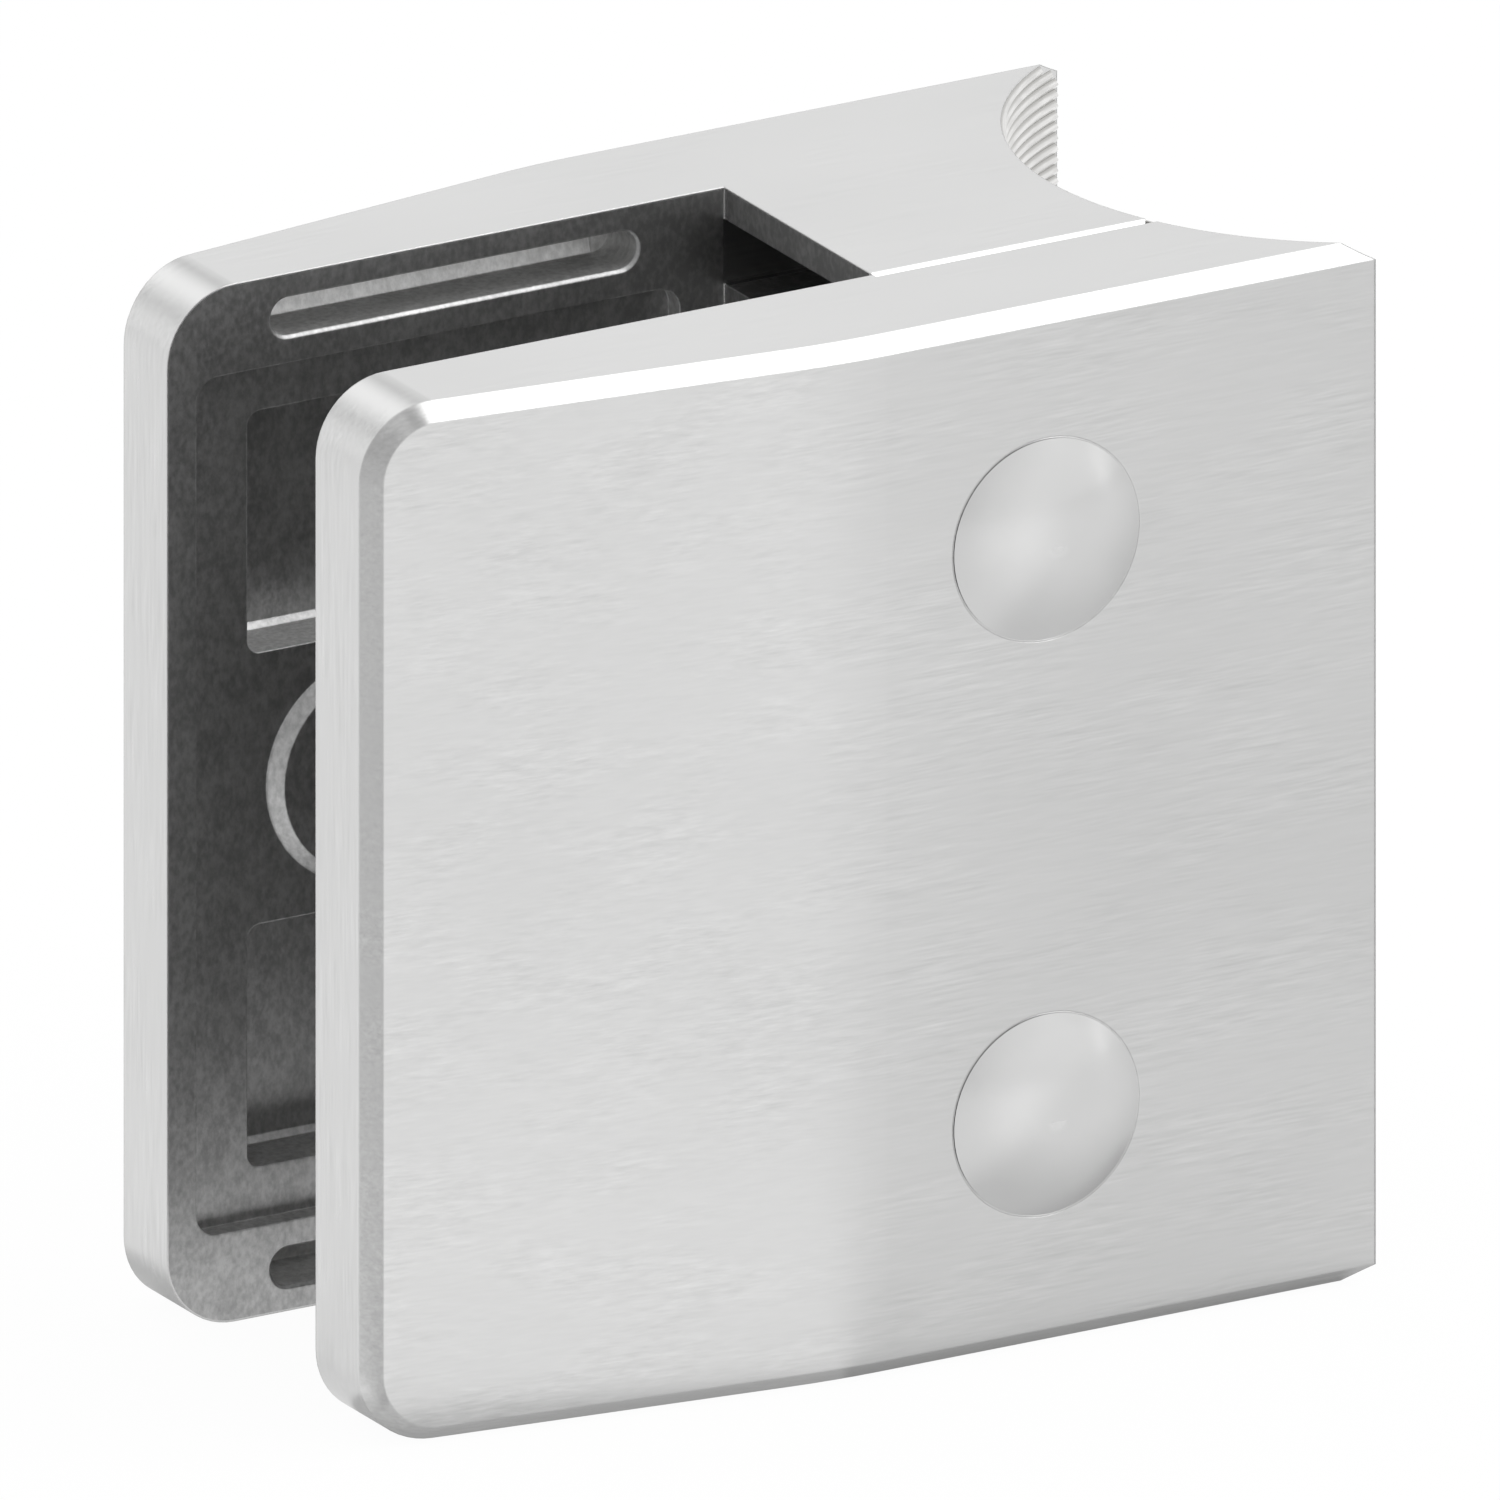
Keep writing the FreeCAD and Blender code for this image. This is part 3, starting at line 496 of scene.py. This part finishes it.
def clamp_screw(name, body, rise, finish):
    """One screw as rings of points along its axis, from the tip to the floor of its socket."""
    angles = [2 * math.pi * i / SIDES for i in range(SIDES)]
    rows = []
    steps = round((THREAD_END + RUN_OUT_LENGTH - THREAD_TIP) / THREAD_ROW)
    for i in range(steps + 1):
        depth = THREAD_TIP + THREAD_ROW * i
        rows.append((depth, [thread_radius(depth, angle) for angle in angles]))
    for depth, radius in (
        (HEAD_UNDERSIDE, CREST_RADIUS),
        (HEAD_UNDERSIDE, HEAD_RADIUS - UNDERSIDE_BREAK),
        (HEAD_UNDERSIDE + UNDERSIDE_BREAK, HEAD_RADIUS),
        (HEAD_TOP - HEAD_BREAK, HEAD_RADIUS),
        (HEAD_TOP, HEAD_RADIUS - HEAD_BREAK),
    ):
        rows.append((depth, [radius] * SIDES))
    hexagon = [hex_radius(angle) for angle in angles]
    rows.append((HEAD_TOP, [radius + SOCKET_BREAK for radius in hexagon]))
    rows.append((HEAD_TOP - SOCKET_BREAK, hexagon))
    rows.append((SOCKET_FLOOR, hexagon))

    mesh = bmesh.new()
    rings = []
    for depth, radii in rows:
        rings.append([
            mesh.verts.new(Vector((SCREW_REACH + r * math.cos(a), depth, rise + r * math.sin(a))) * MM)
            for r, a in zip(radii, angles)
        ])
    for first, second in zip(rings, rings[1:]):
        for i in range(SIDES):
            mesh.faces.new((first[i], first[(i + 1) % SIDES], second[(i + 1) % SIDES], second[i]))
    for ring, depth in ((rings[0], THREAD_TIP), (rings[-1], SOCKET_FLOOR - DRILL_POINT)):
        middle = mesh.verts.new(Vector((SCREW_REACH, depth, rise)) * MM)
        for i in range(SIDES):
            mesh.faces.new((ring[i], ring[(i + 1) % SIDES], middle))
    bmesh.ops.recalc_face_normals(mesh, faces=mesh.faces)
    return add_piece(mesh, name, body, finish)


def screw_finish():
    """Turned steel with fine marks round the screw."""
    material, shader, point = start_finish("machined_screw")
    marks = point.stretched(*LATHE_MARKS_PER_MM).noise(detail=2)
    feed(shader, "Base Color", marks.between(0.3, 0.7).shade(SCREW_DARK, SCREW_LIGHT))
    feed(shader, "Roughness", 0.26 + marks * 0.15)
    feed(shader, "Normal", rounded(point, SCREW_EDGE_RADIUS))
    return material


screw_steel = screw_finish()
for level, rise in (("upper", SCREW_RISE), ("lower", -SCREW_RISE)):
    dress(f"clamp_screw_{level}", screw_steel)
    screw = clamp_screw(f"threaded_screw_{level}", f"{level}_screw", rise, screw_steel)
    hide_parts(f"clamp_screw_{level}")


# Studio
# A pale floor that fades into a white surround with a few softly lighter and darker places for the
# steel to reflect, among them a painted shadow round the foot of the clamp and a painted pool of
# light about it, a broad soft lamp overhead, and a weak narrow one that draws a faint light line
# on the domes.
FLOOR_HALF_WIDTH_M = 3.0
FLOOR_GREY = (0.9, 0.9, 0.9, 1)
FLOOR_GLOW = 0.55
CAMERA_GLOW = 0.96
CLAMP_MIDDLE = -17.4
CLAMP_HALF_LENGTH = 26.5
FAN_MIDDLE = -19.8
LEFT_CORNER = -12.0
DARK_LANE = math.radians(-150)
DARK_LANE_EDGES = (math.radians(6), math.radians(18))
PAINTED_LIGHT_POOL_REACH = (30, 90)
PAINTED_SHADOW_REACH = 4.0
PAINTED_SHADOW_TONE = 0.48
GAP_SHADOW_TONE = 0.95


def pale_floor():
    """White to the camera; in reflections lighter and darker by place, with painted shadow and light
    round the clamp.
    """
    material = bpy.data.materials.new("pale_floor")
    material.use_nodes = True
    tree = material.node_tree
    start = Link(tree)
    place = start.add("ShaderNodeNewGeometry", output="Position").stretched(1 / MM, 1 / MM, 1 / MM)
    x, y = place.parts()[:2]
    sideways = (x - FAN_MIDDLE) / (-OUTER_FACE - y).at_least(1.0)
    front = sideways.between(0.2, 0.85, 1.17, 0.81)
    left_angle = y.maths("ARCTAN2", y - LEFT_CORNER, x - GLASS_END)
    left = abs(left_angle - DARK_LANE).between(*DARK_LANE_EDGES, 0.24, 1.0)
    # Painted pool of light: in reflections the floor is brighter near the clamp.
    painted_light_pool = (x - CLAMP_MIDDLE).across(y).between(*PAINTED_LIGHT_POOL_REACH, 1.14, 1.0)
    past_ends = (abs(x - CLAMP_MIDDLE) - CLAMP_HALF_LENGTH).at_least(0)
    beside = past_ends.across((abs(y) - OUTER_FACE).at_least(0))
    in_gap = (x < WEB_WALL) * (abs(y) < HALF_GAP)
    # Painted shadow: in reflections the floor darkens next to the clamp's foot, but hardly between the
    # jaws.
    painted_contact_shadow = beside.between(0.0, PAINTED_SHADOW_REACH, PAINTED_SHADOW_TONE, 1.0).at_least(in_gap * GAP_SHADOW_TONE)
    tone = y.between(-OUTER_FACE, 10, front, 1.11) * left * painted_light_pool * painted_contact_shadow
    seen = start.add("ShaderNodeLightPath", output="Is Camera Ray")
    glossy = start.add("ShaderNodeLightPath", output="Is Glossy Ray")
    through = start.add("ShaderNodeLightPath", output="Is Transmission Ray")
    glow_tone = seen + (1 - seen) * tone
    matt = start.add("ShaderNodeBsdfDiffuse", {"Color": FLOOR_GREY})
    glow = start.add("ShaderNodeEmission", {"Color": glow_tone, "Strength": 1.0})
    share = seen * CAMERA_GLOW + (glossy + through) * FLOOR_GLOW
    mixed = start.add("ShaderNodeMixShader", {0: share, 1: matt, 2: glow})
    feed(tree.nodes["Material Output"], "Surface", mixed)
    return material


floor_mesh = bpy.data.meshes.new("floor")
corners = [
    (x * FLOOR_HALF_WIDTH_M, y * FLOOR_HALF_WIDTH_M, cad_low.z)
    for x, y in ((-1, -1), (1, -1), (1, 1), (-1, 1))
]
floor_mesh.from_pydata(corners, [], [(0, 1, 2, 3)])
floor_mesh.materials.append(pale_floor())
floor = bpy.data.objects.new("floor", floor_mesh)
bpy.context.scene.collection.objects.link(floor)


def white_surround():
    """White behind the clamp. In reflections it is lighter at the rear, with soft bands and patches."""
    world = bpy.data.worlds.new("white_surround")
    world.use_nodes = True
    start = Link(world.node_tree)
    across, away, up = start.add("ShaderNodeTexCoord", output="Generated").parts()
    seen = start.add("ShaderNodeLightPath", output="Is Camera Ray")
    rear = away.between(0.5, 0.75) * up.between(0.1, 0.3)
    right_dark_band = abs(across - 0.325).between(0.04, 0.11, 0.27, 0.0)
    left_dark_band = abs(across + 0.4).between(0.04, 0.12, 0.27, 0.0)
    light_band = abs(across + 0.02).between(0.06, 0.25, 0.26, 0.0)
    bands = light_band - (right_dark_band + left_dark_band)
    dark_at_left = (across * -0.7 + away * -0.6 + up * 0.35).between(0.78, 0.95, 0.0, 0.42)
    dark_at_top = (up * 0.866 - away * 0.5).between(0.9, 0.97, 0.0, 0.45)
    front_to_rear = away.between(-0.6, 0.9, 1.0, 1.1)
    tone = front_to_rear + rear * bands - dark_at_left - dark_at_top
    feed(world.node_tree.nodes["Background"], "Color", seen + (1 - seen) * tone)
    return world


bpy.context.scene.world = white_surround()


def soft_lamp(name, direction, distance, width, length, power):
    """A soft lamp that points at the clamp, its length upright. Sizes are in metres, power in watts."""
    data = bpy.data.lights.new(name, "AREA")
    data.shape = "RECTANGLE"
    data.size = width
    data.size_y = length
    data.energy = power
    lamp = bpy.data.objects.new(name, data)
    towards = Vector(direction).normalized()
    lamp.location = (cad_low + cad_high) / 2 + towards * distance
    lamp.rotation_mode = "QUATERNION"
    lamp.rotation_quaternion = towards.to_track_quat("Z", "Y")
    bpy.context.scene.collection.objects.link(lamp)


soft_lamp("overhead_softbox", (0.47, -0.34, 0.81), 0.6, 0.45, 0.45, 1.2)
soft_lamp("right_strip", (0.83, -0.54, 0.17), 0.6, 0.05, 0.2, 0.012)


# View
# The photograph is a parallel view from 30 degrees to the left of the front and 20 degrees above.
# Its middle and its scale were measured on the corners of the clamp.
PHOTO_SIDE = 1500
PIXELS_PER_MM = 21.24
VIEW_AZIMUTH = math.radians(-30)
VIEW_ELEVATION = math.radians(20)
PHOTO_MIDDLE = Vector((-8.85, 12.80, -4.91)) * MM
CAMERA_DISTANCE = 0.5

camera_data = bpy.data.cameras.new("view")
camera_data.type = "ORTHO"
camera_data.ortho_scale = PHOTO_SIDE / PIXELS_PER_MM * MM
camera_data.clip_start = 0.01
camera_data.clip_end = 10
camera = bpy.data.objects.new("view", camera_data)
camera.rotation_euler = (math.pi / 2 - VIEW_ELEVATION, 0, VIEW_AZIMUTH)
to_camera = Vector((
    math.sin(VIEW_AZIMUTH) * math.cos(VIEW_ELEVATION),
    -math.cos(VIEW_AZIMUTH) * math.cos(VIEW_ELEVATION),
    math.sin(VIEW_ELEVATION),
))
camera.location = PHOTO_MIDDLE + to_camera * CAMERA_DISTANCE
bpy.context.scene.collection.objects.link(camera)
bpy.context.scene.camera = camera

bpy.context.scene.view_settings.view_transform = "Standard"
